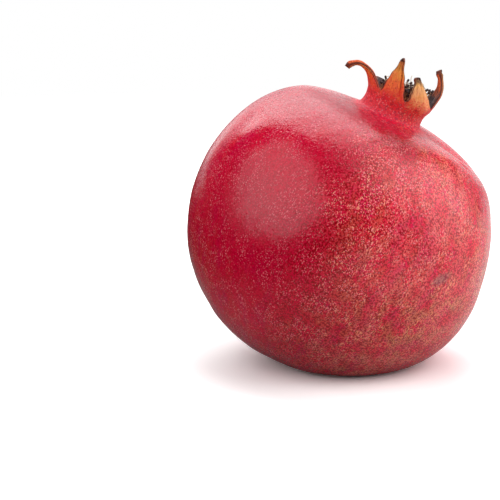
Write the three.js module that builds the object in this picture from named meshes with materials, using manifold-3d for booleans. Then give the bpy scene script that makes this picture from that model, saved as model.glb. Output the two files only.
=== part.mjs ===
// A whole pomegranate as picked: a leathery round fruit that has settled on a small flat spot, with its neck
// and crown of pointed lobes leaning to one side, the dried stamens inside the crown, and the clipped stem
// underneath. Millimetres, +Z up, origin in the middle of the flat spot. Bearings turn about the crown's own
// axis, from the side that it leans to, and seen from the crown's end they count anticlockwise.

import * as THREE from 'three';
import { mergeVertices } from 'three/addons/utils/BufferGeometryUtils.js';
import Module from 'manifold-3d';

const wasm = await Module();
wasm.setup();
const radians = THREE.MathUtils.degToRad;

// The body
const BODY_RADIUS = 52;
const CENTRE_HEIGHT = 44.7; // of the body's centre above the surface that it rests on
const SET_BACK = 4; // of the body's centre from the middle of the flat spot, away from the side of the crown
const SETTLE_ROUNDING = 2.5; // the flat spot rounds up into the body from this far below to this far above it
const LEAN = radians(23); // of the crown's axis from upright, towards +X
const CROWN_END = { drop: 12, width: radians(31.5) }; // how the body flattens round the neck
const STEM_END = { drop: 3.4, width: radians(33) };
const DIMPLE = { drop: 4.2, width: radians(8) }; // that the stem sits in

// Soft ribs that run down from the crown: bearing and height
const RIB_WIDTH = radians(20);
const RIB_TOP = radians(62); // the angle from the crown where ribs stand highest
const RIB_REACH = radians(42);
const RIBS = [
  [32, 0.5],
  [92, 0.7],
  [146, 0.5],
  [203, 0.5],
  [262, 0.6],
  [321, 0.5],
];

// Swellings and flats of this fruit: angle from the crown, bearing, height and width
const SWELLINGS = [
  [70, 182, 0.6, 22],
  [34, 175, 1.8, 20],
  [26, 75, 1.5, 20],
  [32, 0, -2.8, 11],
  [77, 0, -1.8, 19],
  [108, 350, 0.4, 20],
];

// The neck, as radius from the axis and height above the body's centre, up to the mouth of the crown's cup
const NECK_START = radians(23); // the angle from the crown where the neck leaves the body
const NECK = [
  [17.6, 41.4],
  [14.3, 41.3],
  [11.9, 42],
  [10.7, 43.8],
  [10.5, 46.3],
  [11.2, 48.6],
];
const NECK_BEND = 0.8; // that its middle stands back from the side that the crown leans to
const CUP = [
  [9.2, 46.8],
  [8.8, 44.6],
  [7.9, 42.6],
  [5.5, 41.6],
  [0, 41.4],
];
const MOUTH_RADIUS = NECK.at(-1)[0];
const MOUTH_HEIGHT = NECK.at(-1)[1];
const MOUTH_FLARE = 20; // degrees that the neck opens outward at the mouth

// The crown's lobes, each from its bearing to the next one's: length, the way it heads a third and two thirds
// along and at the tip (degrees outward from the axis), how far its tip sways sideways, and how soon it
// narrows
const LOBES = [
  { from: -14, length: 15.6, headings: [15, -24, -42], sway: 0.6, taper: 1.2 },
  { from: 46, length: 8.5, headings: [66, 96, 118], sway: 1, taper: 1 },
  { from: 107, length: 6.5, headings: [74, 96, 108], sway: -1.4, taper: 1 },
  { from: 168, length: 13.2, headings: [42, 82, 165], sway: 0, taper: 1.45 },
  { from: 226, length: 14.2, headings: [8, 2, 10], sway: -1.2, taper: 0.8 },
  { from: 275, length: 10.8, headings: [-4, -18, -26], sway: -6.2, taper: 0.65 },
];
const LOBE_SWELL = 0.35; // that the middle of a lobe stands out of the round neck
const WALL = 1.5; // thickness of a lobe
const SWAY_EASING = 1.1; // how late along its length a lobe sways, 1 being evenly all along
const EDGE_THINNING = { share: 0.25, fullBy: 0.25 }; // that a lobe's edges lack, in full from this far along
const TIP_WIDTH = 0.1; // of a lobe's width at the mouth
const KNOB = { thickness: 0.4, width: 0.06, at: 0.93, reach: 0.07 }; // the shrivelled end of each tip

// The dried stamens
const STAMENS = 42;
const STAMEN_RADIUS = 0.36;
const HEAD_RADIUS = 0.62;
const HEAD_LENGTH = 1.3; // times its width
const TUFT_RADIUS = 5; // that the stamens' roots spread over
const TUFT_FLOOR = CUP.at(-1)[1] + 0.4; // clear of the cup's floor
const TUFT_BASE = [
  [0, 0],
  [4.6, 0.3],
  [6, 1],
  [5, 1.9],
  [0, 2.2],
]; // the cushion that they grow from, as radius and height above the tuft's floor
const ROOT_DEPTH = 0.5; // of a stamen's root above the tuft's floor, inside the cushion
const TUFT_SPREAD = 1.55; // that their tops open out by
const TUFT_TOP = [51, 56]; // lowest and highest end above the body's centre
const TURN_TO_NEXT = radians(137.5); // the golden angle that spaces them evenly
const TURN_SCATTER = 0.4;
const CURL_SCATTER = 1.2;
const OPEN_SIDE = radians(4); // the bearing of the lobe that stands back, where they spread further
const OPEN_LEAN = 0.45;
const CLOSED_SIDE = radians(292); // the bearing of the lobe that leans in over them
const CLOSED_LEAN = 0.5;
const SEED = 11;

// The clipped stem, as radius and distance from the body's centre
const STEM = [
  [0, 45.3],
  [1.7, 45.3],
  [1.8, 46.1],
  [2.2, 47],
  [1.8, 47.4],
  [0, 47.2],
];
const STEM_FLATTENING = 0.85;

// How finely the shapes are divided
const LOBE_COLUMNS = 10;
const LOBE_ROWS = 9;
const SPINE_STEPS = 24;
const BODY_ROWS = 28;
const ROW_EASING = 1.25; // above 1, rows stand closer together by the stem
const NECK_ROWS = 6;
const CUP_ROWS = 5;
const STAMEN_SIDES = 3;
const STAMEN_STEPS = 4;
const TUFT_SIDES = 16;
const STEM_SIDES = 14;

// The crown's axis and the two directions across it, from which bearings are counted
const axis = new THREE.Vector3(Math.sin(LEAN), 0, Math.cos(LEAN));
const crossSide = new THREE.Vector3(0, 1, 0);
const leanSide = new THREE.Vector3().crossVectors(crossSide, axis);
const centre = new THREE.Vector3(-SET_BACK, 0, CENTRE_HEIGHT);

// A fruit settles where it lies: below the rounding the surface is flat
function settle(point) {
  if (point.z <= -SETTLE_ROUNDING) point.z = 0;
  else if (point.z < SETTLE_ROUNDING) point.z = (point.z + SETTLE_ROUNDING) ** 2 / (4 * SETTLE_ROUNDING);
  return point;
}

function place(radius, bearing, height) {
  const point = centre
    .clone()
    .addScaledVector(leanSide, radius * Math.cos(bearing))
    .addScaledVector(crossSide, radius * Math.sin(bearing))
    .addScaledVector(axis, height);
  return settle(point);
}

const hill = (distance, width) => Math.exp(-((distance / width) ** 2));
const turnBetween = (a, b) => Math.abs(Math.atan2(Math.sin(a - b), Math.cos(a - b)));

function ribHeight(angle, bearing) {
  let height = 0;
  for (const [ribBearing, ribTop] of RIBS) {
    height += ribTop * hill(turnBetween(bearing, radians(ribBearing)), RIB_WIDTH);
  }
  return height * hill(angle - RIB_TOP, RIB_REACH) * Math.sin(angle);
}

function swellingHeight(angle, bearing) {
  let height = 0;
  for (const [atAngle, atBearing, top, width] of SWELLINGS) {
    const across = turnBetween(bearing, radians(atBearing)) * Math.sin(angle);
    height += top * hill(Math.hypot(angle - radians(atAngle), across), radians(width));
  }
  return height;
}

function bodyRadius(angle, bearing) {
  return (
    BODY_RADIUS -
    CROWN_END.drop * hill(angle, CROWN_END.width) -
    STEM_END.drop * hill(Math.PI - angle, STEM_END.width) -
    DIMPLE.drop * hill(Math.PI - angle, DIMPLE.width) +
    ribHeight(angle, bearing) +
    swellingHeight(angle, bearing)
  );
}

function bodyPoint(angle, bearing) {
  const radius = bodyRadius(angle, bearing);
  return place(radius * Math.sin(angle), bearing, radius * Math.cos(angle));
}

// A smooth curve through radius and height pairs
const outline = (pairs) =>
  new THREE.CatmullRomCurve3(pairs.map(([radius, height]) => new THREE.Vector3(radius, 0, height)));
const neckCurve = outline(NECK);

// Where a column stands in its lobe: -1 and 1 at the notches, 0 in the middle
const inLobe = (column) => ((column % LOBE_COLUMNS) / LOBE_COLUMNS) * 2 - 1;
const lobeSwell = (across) => LOBE_SWELL * Math.cos((across * Math.PI) / 2) ** 2;

function lobeSpan(lobe) {
  const next = LOBES[(LOBES.indexOf(lobe) + 1) % LOBES.length];
  return THREE.MathUtils.euclideanModulo(next.from - lobe.from, 360);
}

function columnBearing(column) {
  const lobe = LOBES[Math.floor(column / LOBE_COLUMNS) % LOBES.length];
  return radians(lobe.from + (lobeSpan(lobe) * (column % LOBE_COLUMNS)) / LOBE_COLUMNS);
}

// The neck leaves the body where the body really is at that bearing, and is round by the mouth
function neckPoint(along, column) {
  const bearing = columnBearing(column);
  const point = neckCurve.getPoint(along);
  const start = bodyRadius(NECK_START, bearing);
  const leftToRound = (1 - along) ** 2;
  point.x += (start * Math.sin(NECK_START) - NECK[0][0]) * leftToRound;
  point.z += (start * Math.cos(NECK_START) - NECK[0][1]) * leftToRound;
  point.x += lobeSwell(inLobe(column)) * along ** 2;
  point.x -= NECK_BEND * Math.cos(bearing) * Math.sin(Math.PI * along);
  return place(point.x, bearing, point.z);
}

// The way a lobe heads at a share of its length, in radians outward from the axis
function headingAt(lobe, along) {
  const stops = [MOUTH_FLARE, ...lobe.headings];
  const reach = along * (stops.length - 1);
  const stop = Math.min(Math.floor(reach), stops.length - 2);
  return radians(THREE.MathUtils.lerp(stops[stop], stops[stop + 1], reach - stop));
}

// The lobe's middle line, as radius and height, by adding up short steps along its headings
function lobeSpine(lobe, along) {
  const step = (lobe.length * along) / SPINE_STEPS;
  let radius = MOUTH_RADIUS + LOBE_SWELL;
  let height = MOUTH_HEIGHT;
  for (let k = 0; k < SPINE_STEPS; k++) {
    const heading = headingAt(lobe, (along * (k + 0.5)) / SPINE_STEPS);
    radius += step * Math.sin(heading);
    height += step * Math.cos(heading);
  }
  return { radius, height };
}

const knobAt = (along) => hill(along - KNOB.at, KNOB.reach);
const lobeTaper = (lobe, along) =>
  TIP_WIDTH + (1 - TIP_WIDTH) * (1 - along) ** lobe.taper + KNOB.width * knobAt(along);

function lobeWall(across, along) {
  const middle = WALL + KNOB.thickness * knobAt(along);
  return middle * (1 - EDGE_THINNING.share * across ** 4 * Math.min(1, along / EDGE_THINNING.fullBy));
}

// A lobe's point: across from -1 to 1, along from 0 at the mouth to 1 at the tip, inward by the wall or not
function lobePoint(lobe, across, along, inner) {
  const halfSpan = radians(lobeSpan(lobe)) / 2;
  const middle = radians(lobe.from) + halfSpan;
  const spine = lobeSpine(lobe, along);
  const heading = headingAt(lobe, along);
  const taper = lobeTaper(lobe, along) / lobeTaper(lobe, 0);
  const ring = MOUTH_RADIUS + lobeSwell(across);
  const turn = across * halfSpan * taper;
  const sag = (MOUTH_RADIUS + LOBE_SWELL - ring * Math.cos(across * halfSpan)) * taper;
  const sideways = ring * Math.sin(across * halfSpan) * taper + lobe.sway * along ** SWAY_EASING;
  const wall = inner ? lobeWall(across, along) : 0;
  const outward = -sag * Math.cos(heading) - wall * Math.cos(heading) * Math.cos(turn);
  const radius = spine.radius + outward;
  const offset = sideways - wall * Math.cos(heading) * Math.sin(turn);
  const height = spine.height + (sag + wall) * Math.sin(heading);
  return place(Math.hypot(radius, offset), middle + Math.atan2(offset, radius), height);
}

// Collects points and the triangles between rows of them
class Skin {
  positions = [];
  index = [];

  add(point) {
    this.positions.push(point.x, point.y, point.z);
    return this.positions.length / 3 - 1;
  }

  row(count, pointAt) {
    return Array.from({ length: count }, (_, k) => this.add(pointAt(k)));
  }

  ring(pointAt) {
    const row = this.row(LOBES.length * LOBE_COLUMNS, pointAt);
    return [...row, row[0]];
  }

  // Faces between two rows, looking outward when the second lies further along the axis and flipped is false
  stitch(lower, upper, flipped = false) {
    for (let k = 0; k + 1 < lower.length; k++) {
      const [a, b, c, d] = [lower[k], lower[k + 1], upper[k + 1], upper[k]];
      this.index.push(...(flipped ? [a, c, b, a, d, c] : [a, b, c, a, c, d]));
    }
  }

  fan(tip, row) {
    for (let k = 0; k + 1 < row.length; k++) this.index.push(tip, row[k], row[k + 1]);
  }

  geometry() {
    const geometry = new THREE.BufferGeometry();
    geometry.setAttribute('position', new THREE.Float32BufferAttribute(this.positions, 3));
    geometry.setIndex(this.index);
    geometry.computeVertexNormals();
    return geometry;
  }
}

function stitchAll(skin, rows, flipped = false) {
  for (let k = 0; k + 1 < rows.length; k++) skin.stitch(rows[k], rows[k + 1], flipped);
}

function addLobe(skin, number, outerMouth, innerMouth) {
  const lobe = LOBES[number];
  const start = number * LOBE_COLUMNS;
  const outer = [outerMouth.slice(start, start + LOBE_COLUMNS + 1)];
  const inner = [innerMouth.slice(start, start + LOBE_COLUMNS + 1)];
  for (let k = 1; k <= LOBE_ROWS; k++) {
    const pointAt = (isInner) => (column) =>
      lobePoint(lobe, (column / LOBE_COLUMNS) * 2 - 1, k / LOBE_ROWS, isInner);
    outer.push(skin.row(LOBE_COLUMNS + 1, pointAt(false)));
    inner.push(skin.row(LOBE_COLUMNS + 1, pointAt(true)));
  }
  stitchAll(skin, outer);
  stitchAll(skin, inner, true);
  const edge = (column, first, second) => first.map((row, k) => [row[column], second[k][column]]);
  stitchAll(skin, edge(0, inner, outer));
  stitchAll(skin, edge(LOBE_COLUMNS, outer, inner));
  skin.stitch(outer.at(-1), inner.at(-1));
}

// The rind, neck and crown are one grown piece: one skin from the stem's dimple to the cup's floor
function makeFruit() {
  const skin = new Skin();
  const stemPole = skin.add(bodyPoint(Math.PI, 0));
  const outside = [];
  for (let k = 1; k <= BODY_ROWS; k++) {
    const angle = Math.PI - (Math.PI - NECK_START) * (k / BODY_ROWS) ** ROW_EASING;
    outside.push(skin.ring((column) => bodyPoint(angle, columnBearing(column))));
  }
  for (let k = 1; k <= NECK_ROWS; k++) {
    outside.push(skin.ring((column) => neckPoint(k / NECK_ROWS, column)));
  }
  skin.fan(stemPole, outside[0].toReversed());
  stitchAll(skin, outside);

  const lobeOf = (column) => LOBES[Math.floor(column / LOBE_COLUMNS)];
  const inside = [skin.ring((column) => lobePoint(lobeOf(column), inLobe(column), 0, true))];
  const cupCurve = outline(CUP);
  for (let k = 0; k < CUP_ROWS; k++) {
    const { x: radius, z: height } = cupCurve.getPoint(k / CUP_ROWS);
    inside.push(skin.ring((column) => place(radius, columnBearing(column), height)));
  }
  LOBES.forEach((_, number) => addLobe(skin, number, outside.at(-1), inside[0]));
  stitchAll(skin, inside);
  skin.fan(skin.add(place(0, 0, CUP.at(-1)[1])), inside.at(-1));
  return skin.geometry();
}

// Deterministic random numbers from 0 to 1
function seededRandom(seed) {
  let state = seed;
  return () => {
    state = (state * 1664525 + 1013904223) % 4294967296;
    return state / 4294967296;
  };
}

function toSolid(geometry) {
  geometry.deleteAttribute('normal');
  geometry.deleteAttribute('uv');
  const merged = mergeVertices(geometry);
  return new wasm.Manifold(
    new wasm.Mesh({
      numProp: 3,
      vertProperties: merged.attributes.position.array,
      triVerts: new Uint32Array(merged.index.array),
    }),
  );
}

function toGeometry(solid) {
  const mesh = solid.getMesh();
  const geometry = new THREE.BufferGeometry();
  geometry.setAttribute('position', new THREE.BufferAttribute(mesh.vertProperties, 3));
  geometry.setIndex(new THREE.BufferAttribute(mesh.triVerts, 1));
  geometry.computeVertexNormals();
  return geometry;
}

function roundShape(radius, sides) {
  const corners = Array.from({ length: sides }, (_, k) => {
    const turn = (2 * Math.PI * k) / sides;
    return new THREE.Vector2(radius * Math.cos(turn), radius * Math.sin(turn));
  });
  return new THREE.Shape(corners);
}

// One stamen: a bent thread from the tuft's base, with a knob for its head
function stamenSolids(number, random) {
  const spread = TUFT_RADIUS * Math.sqrt((number + 0.5) / STAMENS);
  const bearing = number * TURN_TO_NEXT + random() * TURN_SCATTER;
  const top = THREE.MathUtils.lerp(...TUFT_TOP, random());
  const towards = (side) => Math.max(0, Math.cos(bearing - side)) ** 2;
  const lean = TUFT_SPREAD + OPEN_LEAN * towards(OPEN_SIDE) - CLOSED_LEAN * towards(CLOSED_SIDE);
  const curl = (random() - 0.5) * CURL_SCATTER;
  const pointAt = (share, radius) => {
    const turned = bearing + (curl * share ** 2 * TUFT_RADIUS) / (radius + TUFT_RADIUS);
    const height = THREE.MathUtils.lerp(TUFT_FLOOR + ROOT_DEPTH, top, share);
    return new THREE.Vector3(radius * Math.cos(turned), radius * Math.sin(turned), height);
  };
  const path = new THREE.CatmullRomCurve3([
    pointAt(0, spread * 0.9),
    pointAt(0.4, spread),
    pointAt(0.75, spread * lean),
    pointAt(1, spread * lean * 1.05),
  ]);
  const thread = new THREE.ExtrudeGeometry(roundShape(STAMEN_RADIUS, STAMEN_SIDES), {
    steps: STAMEN_STEPS,
    extrudePath: path,
  });
  const head = new THREE.OctahedronGeometry(HEAD_RADIUS);
  head.scale(1, 1, HEAD_LENGTH);
  head.rotateZ(random() * Math.PI);
  head.translate(...path.getPoint(1).toArray());
  return [toSolid(thread), toSolid(head)];
}

function makeStamens() {
  const random = seededRandom(SEED);
  const profile = TUFT_BASE.map(([radius, height]) => new THREE.Vector2(radius, TUFT_FLOOR + height));
  const base = new THREE.LatheGeometry(profile, TUFT_SIDES);
  base.rotateX(Math.PI / 2);
  const solids = [toSolid(base)];
  for (let k = 0; k < STAMENS; k++) solids.push(...stamenSolids(k, random));
  return toGeometry(wasm.Manifold.union(solids));
}

function makeStem() {
  const profile = STEM.map(([radius, distance]) => new THREE.Vector2(radius, distance));
  const stem = new THREE.LatheGeometry(profile, STEM_SIDES);
  stem.rotateX(-Math.PI / 2);
  stem.scale(1, STEM_FLATTENING, 1);
  return stem;
}

function namedMesh(name, geometry, color, roughness) {
  const material = new THREE.MeshStandardMaterial({ color, roughness, metalness: 0 });
  const mesh = new THREE.Mesh(geometry, material);
  mesh.name = name;
  return mesh;
}

// The stamens and stem are modelled round the crown's axis, and this group leans them with it
const alongAxis = new THREE.Group();
alongAxis.position.copy(centre);
alongAxis.quaternion.setFromRotationMatrix(new THREE.Matrix4().makeBasis(leanSide, crossSide, axis));
alongAxis.add(namedMesh('stamens', makeStamens(), '#3a2420', 0.8));
alongAxis.add(namedMesh('stem_stub', makeStem(), '#7a6248', 0.85));

const pomegranate = new THREE.Group();
pomegranate.add(namedMesh('fruit', makeFruit(), '#b0202f', 0.4), alongAxis);

export default pomegranate;
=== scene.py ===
# A whole pomegranate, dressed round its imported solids: a fine skin with ribs, dents and creases, which runs
# up into a crown of wrinkled lobes, the dried stamens in it and the clipped stem underneath. Shapes are in
# millimetres, and meshes in metres. Bearings turn about the crown's axis, from the side that it leans to, and
# angles are counted from the crown's end.

import random
from math import cos, pi, radians, sin, sqrt, tan

import bpy
import numpy as np
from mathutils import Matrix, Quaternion, Vector


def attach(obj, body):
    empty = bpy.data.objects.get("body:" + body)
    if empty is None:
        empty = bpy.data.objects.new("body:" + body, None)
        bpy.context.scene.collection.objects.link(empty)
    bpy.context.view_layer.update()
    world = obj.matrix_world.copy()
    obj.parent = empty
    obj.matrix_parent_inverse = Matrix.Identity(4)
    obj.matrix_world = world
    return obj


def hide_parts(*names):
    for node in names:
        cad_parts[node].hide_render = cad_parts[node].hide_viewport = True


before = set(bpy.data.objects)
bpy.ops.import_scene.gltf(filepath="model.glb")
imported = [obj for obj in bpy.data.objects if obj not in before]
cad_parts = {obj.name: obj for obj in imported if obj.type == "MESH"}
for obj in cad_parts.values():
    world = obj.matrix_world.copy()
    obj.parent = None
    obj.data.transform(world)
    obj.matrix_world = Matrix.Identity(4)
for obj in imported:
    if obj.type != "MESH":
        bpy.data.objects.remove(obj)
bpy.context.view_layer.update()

MM = 0.001

# ---- the fruit's sizes
# As in the solids, but there the lobes' ends are broader, the third is longer and the tuft is high all round

BODY_RADIUS = 52.0
CENTRE_HEIGHT = 44.7
SET_BACK = 4.0
SETTLE_ROUNDING = 2.5
LEAN = radians(23)
CROWN_END = (12.0, radians(31.5))  # drop and width
STEM_END = (3.4, radians(33))
DIMPLE = (4.2, radians(8))

RIB_WIDTH = radians(20)
RIB_TOP = radians(62)
RIB_REACH = radians(42)
RIBS = [(32, 0.5), (92, 0.7), (146, 0.5), (203, 0.5), (262, 0.6), (321, 0.5)]  # bearing and height

# Swellings and flats, each with its angle, bearing, width in degrees and height
SWELLINGS = [
    (70, 182, 22, 0.6),
    (34, 175, 20, 1.8),
    (26, 75, 20, 1.5),
    (32, 0, 11, -2.8),
    (77, 0, 19, -1.8),
    (108, 350, 20, 0.4),
]

NECK_START = radians(23)
NECK = [(17.6, 41.4), (14.3, 41.3), (11.9, 42), (10.7, 43.8), (10.5, 46.3), (11.2, 48.6)]  # radius and height
NECK_BEND = 0.8
CUP = [(9.2, 46.8), (8.8, 44.6), (7.9, 42.6), (5.5, 41.6), (0, 41.4)]
MOUTH_RADIUS, MOUTH_HEIGHT = NECK[-1]
MOUTH_FLARE = 20

LOBE_SWELL = 0.35
WALL = 1.5
SWAY_EASING = 1.1
TIP_WIDTH = 0.08  # of a lobe's width at the mouth
TIP_NARROWING = 0.22  # that its end is narrower by
TIP_START = (0.55, 0.82)  # shares of its length over which that comes in
KNOB = {"thickness": 0.4, "width": 0.04, "at": 0.93, "reach": 0.07}

# The lobes, each from its bearing to the next one's. Headings lead from mouth to tip, the tone goes from 0,
# red, to 1, pale tan, and the roll is how far the right-hand rim turns out.
LOBE_SHAPE = ("start", "length", "headings", "sway", "taper", "tone", "roll")
LOBES = [
    dict(zip(LOBE_SHAPE, values))
    for values in (
        (-14, 15.6, (15, -24, -42), 0.6, 1.2, 0.55, 0.2),
        (46, 8.5, (66, 96, 118), 1, 1, 0.8, 0.1),
        (107, 5.6, (74, 96, 108), -2.2, 1, 0.8, 0.1),
        (168, 13.2, (42, 82, 165), 0, 1.45, 0.15, 0.0),
        (226, 14.2, (8, 2, 10), -1.2, 0.8, 0.2, 0.45),
        (275, 10.8, (-4, -18, -26), -6.2, 0.74, 0.9, 0.1),
    )
]

# Radius and distance below the centre
STEM = [(0, 45.3), (1.7, 45.3), (1.8, 46.1), (2.2, 47), (1.8, 47.4), (0, 47.2)]
STEM_FLATTENING = 0.85

TUFT_RADIUS = 5.0
TUFT_FLOOR = CUP[-1][1] + 0.4
TUFT_BASE = [(0, 0), (4.6, 0.3), (6, 1), (5, 1.9), (0, 2.2)]  # radius and height above the tuft's floor
TUFT_SPREAD = 1.55
TUFT_TOP = (51.0, 53.9)
TUFT_RISE = 2.2  # how much higher it stands on its open side
OPEN_SIDE, OPEN_LEAN = radians(4), 0.45
CLOSED_SIDE, CLOSED_LEAN = radians(292), 0.5

# ---- what only the fine pieces have

LOBE_COLUMNS = 40
LOBE_ROWS = 44
BODY_ROWS = 170
NECK_ROWS = 26
CUP_ROWS = 16
SPINE_STEPS = 48
ROW_EASING = 1.12  # above 1, the rows are closer together at the stem
RIM_CROWDING = 0.4  # how much closer together a lobe's columns are at its rims
NECK_SOFTENING = (13, 120)  # rows on each side of where the neck starts, and rounds
SKIN_DEPTH = 0.2  # how far the fine skin stays inside the solid's

# Soft dents of the skin: how far apart and how deep
DENTS = [(26.0, 0.16), (11.0, 0.06), (5.0, 0.022)]
DENT_SEED = 5
RELIEF_START = (radians(22), radians(27))  # angles over which dents and creases come in

# Creases near the crown, each from a bearing and angle to another, with its depth and half its width
CREASES = [
    ((293, 24.5), (341, 42), 0.34, 0.9),
    ((300, 23.5), (350, 39), 0.2, 0.7),
    ((226, 38), (238, 24), 0.16, 1.2),
    ((20, 24), (48, 40), 0.25, 1.0),
    ((128, 37), (150, 24), 0.2, 1.0),
]
CREASE_SLANT = 0.7  # share of the way down to a crease that is square to it, as it runs aslant
CREASE_LIP = (0.4, 2, 1.4)  # height, distance and width of the swelling above it, in shares of its own sizes
CREASE_ENDS = (0.3, 0.55)  # how far from its middle it fades, in shares of its length

# Regular folds and ridges: height, number round the axis, shift, and drift over their length
NECK_FOLDS = [(0.1, 9, 1.3, 0), (0.03, 23, 0, 4)]
CUP_FOLDS = [(0.12, 14, 0, 0)]
CUSHION_BUMPS = [(0.15, 9, 0, 0), (0.1, 17, 1, 0)]
STEM_RIDGES = [(0.05, 7, 0.6, 0), (0.03, 15, 0, 5)]
CUT_ROUGHNESS = 0.05  # of the stem's cut end

# A dried lobe's relief, with places across it from -1, its left rim, to 1, its right rim
EDGE_WAVES = (0.035, 23)  # how uneven its width is, and how often along it
RIM_THINNING, RIM_SHARPNESS = 0.94, 5
BROAD_RIDGES, FINE_RIDGES = 0.11, 0.06
ROLL_AT, FURROW_AT = 0.84, 0.58  # the rolled rim, and the furrow beside it
SHRIVEL, SHRIVEL_REACH = 0.22, 0.12

# The tuft: many threads with dark heads, and a few thin pale ones that curl over
STAMENS = 120
STAMEN_RADIUS = 0.24
STAMEN_STEPS = 14
TURN_TO_NEXT = radians(137.5)
TURN_SCATTER = 0.5
CURL_SCATTER = 1.6
THREAD_SIDES, THREAD_TAPER = 6, 0.35
HEAD_SIZE = (0.42, 0.62)  # half its width and half its length
HEAD_SCATTER = (0.8, 1.25)  # of its size, from head to head
HEAD_LEAN = 0.9
HEAD_END = 0.96  # of half its length, where its end is closed
HEAD_RINGS, HEAD_SIDES = 9, 8
HEAD_WAIST, HEAD_WAIST_WIDTH = 0.22, 0.25
CUSHION_RINGS, CUSHION_SIDES = 12, 48
CUSHION_SHADE, CURLED_SHADE = 0.3, 1.6
CURLED_THREADS = 34
CURLED_RADIUS, CURLED_SIDES, CURLED_STEPS = 0.13, 5, 22
# For each curled thread, ranges of its start, its lean out and turn aside, and its curl
CURLED_ROOT = (0.3, 1.1)
CURLED_START, CURLED_RISE = (51.2, 53.2), 3.2
CURLED_LEAN, CURLED_ASIDE = (0.5, 1.6), (-0.5, 0.5)
CURL_TURN, CURL_SIZE = (2.5, 5.0), (0.7, 1.3)
STAMEN_SEED = 23
FIRST_SIDE = (0.31, 0.95, 0.05)  # along no thread, so that each one's sides can be counted from it
STEM_RINGS = 40
STEM_SIDES = 56

# Areas of the skin, each with its angle, bearing, width in degrees and strength: where it is tan and russet,
# where it is deeper red, in part as painted shade, and where fine dark lines run down it
AREAS = {
    "russet": [
        (66, 266, 15, 0.6), (86, 270, 13, 0.5), (94, 322, 24, 0.9), (115, 279, 26, 0.4), (117, 300, 26, 0.8),
        (80, 342, 24, 0.6), (56, 305, 20, 0.45), (38, 301, 11, 0.75), (42, 262, 11, 0.4), (100, 120, 34, 0.7),
        (70, 60, 26, 0.5), (120, 200, 24, 0.4),
    ],
    "deep": [
        (29, 238, 15, 0.95), (36, 272, 10, 1.0), (43, 281, 5, 0.5), (85, 225, 34, 0.9), (60, 248, 17, 1.0),
        (88, 253, 13, 0.85), (100, 250, 26, 0.7), (110, 160, 36, 0.7), (60, 130, 26, 0.5), (42, 205, 28, 0.9),
    ],
    "lined": [(36, 318, 22, 1.0), (34, 120, 18, 0.8), (30, 214, 12, 0.5)],
}
# The scar's place, about half its length and width, and how far its right end is turned up
SCAR = {"angle": 84.5, "bearing": 306.5, "length": 4.6, "width": 1.9, "slant": 0.62}

# ---- colours, lights and camera

def srgb(red, green, blue):
    """A colour given in the 0 to 255 steps of a screen, as the shader's linear one."""
    steps = [step / 255 for step in (red, green, blue)]
    linear = [step / 12.92 if step <= 0.04045 else ((step + 0.055) / 1.055) ** 2.4 for step in steps]
    return (*linear, 1.0)


CRIMSON = srgb(233, 0, 58)
BRIGHT_RED = srgb(242, 6, 64)
ORANGE_RED = srgb(242, 50, 58)
MAGENTA = srgb(220, 0, 88)
# Deep and dark reds: the skin's own, and also painted shade in some deep areas and near the crown
DEEP_RED_AND_SHADE = srgb(210, 0, 49)
DARK_RED_AND_SHADE = srgb(112, 0, 30)
LOBE_RED = srgb(226, 20, 38)
RUSSET = srgb(210, 104, 70)
TAN = srgb(186, 130, 78)
OCHRE = srgb(255, 178, 60)
MILKY_PINK = srgb(240, 104, 104)
PALE_PINK = srgb(255, 140, 152)
PALE_TAN = srgb(255, 182, 122)
GRAIN_SHADE = srgb(180, 6, 98)
SCAR_SHADE = srgb(112, 34, 56)
SCAR_BROWN = srgb(176, 122, 112)
RIM_BROWN_AND_FURROW_SHADE = srgb(78, 32, 26)
STRAND_BROWN = srgb(170, 56, 26)
HEAD_DARK = srgb(44, 26, 30)
HEAD_BROWN = srgb(96, 62, 52)
BARK_DARK = srgb(84, 60, 44)
BARK_PALE = srgb(150, 122, 92)
CUT_WOOD = srgb(190, 160, 118)

FLOOR_SEEN = 1.25  # the floor's brightness to the eye, lifted to white
FLOOR_FADE = (0.25, 0.7)  # metres from the fruit over which it turns plain white to the eye
# As a reflector the floor is darker on the left, as painted shade
FLOOR_BOUNCE = (0.01, 0.65)  # its brightness as a reflector on the left and on the right
BOUNCE_TURN = (-0.16, 0.12)  # metres to the right of the fruit that this changes over

# Colours and where each is reached: up a lobe that stays orange, up one that turns tan, and so on
LOBE_ORANGES = [
    (0.05, 136, 0, 42), (0.22, 222, 10, 66), (0.48, 238, 36, 50),
    (0.66, 254, 88, 24), (0.86, 255, 134, 44), (1.0, 140, 62, 42),
]
LOBE_TANS = [
    (0.05, 144, 0, 42), (0.22, 224, 12, 64), (0.46, 232, 68, 56),
    (0.62, 255, 174, 104), (0.86, 255, 192, 130), (1.0, 112, 92, 66),
]
# Up a lobe's inside: dark low down in the cup as painted shade, then orange higher up
LOBE_INSIDES_AND_SHADE = [(0.34, 62, 34, 38), (0.42, 140, 70, 48), (0.54, 236, 104, 52)]
THREAD_COLOURS = [(0.1, 96, 52, 40), (0.4, 150, 92, 62), (0.6, 196, 150, 108), (0.8, 232, 214, 186)]
THREAD_SHADES = 2.2  # that the colours are spread over
FLOW_SHARE = 0.45  # that a meridian's length is drawn together to, for long specks

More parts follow.
